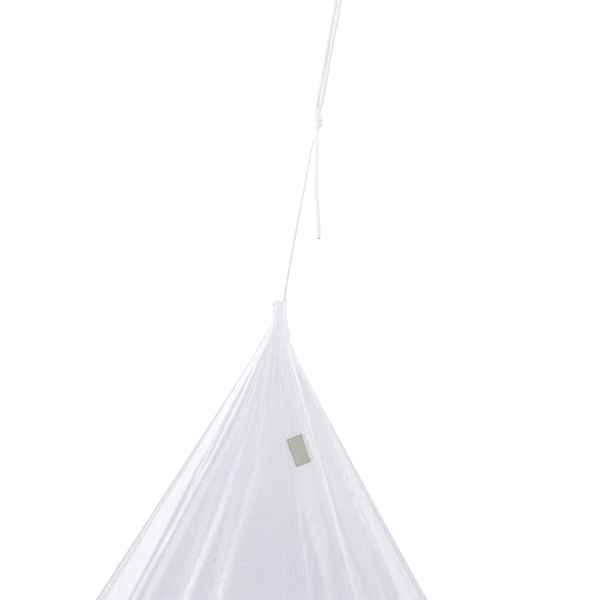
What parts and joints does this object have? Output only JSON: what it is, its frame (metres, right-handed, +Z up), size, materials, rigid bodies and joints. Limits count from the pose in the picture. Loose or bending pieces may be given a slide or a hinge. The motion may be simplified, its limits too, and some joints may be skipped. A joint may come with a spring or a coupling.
{
  "type": "mosquito net canopy",
  "caption": "Cone of fine white mosquito net gathered into a narrow neck, hanging by a knotted braided cord whose upper part is doubled into a loop for a ceiling hook.",
  "frame": {"origin": "Where the ceiling hook bears on the inside of the cord loop's top", "axes": "+Z up, -Y the front, which bears the side label, and +X to the right of someone who faces the front; the cord leans down towards -X"},
  "size_m": [1.2449, 1.1424, 1.5112],
  "materials": {
    "net_mesh": "fine white see-through net with a hexagon mesh of about 1.5 mm",
    "label_weave": "woven beige-grey label, left bare",
    "cord_braid": "soft white braided cord"
  },
  "bodies": {
    "root": {"net_canopy": "net_mesh", "woven_label": "label_weave", "hanging_cord": "cord_braid", "cord_loop": "cord_braid", "cord_knot": "cord_braid", "cord_tail": "cord_braid"}
  },
  "joints": []
}
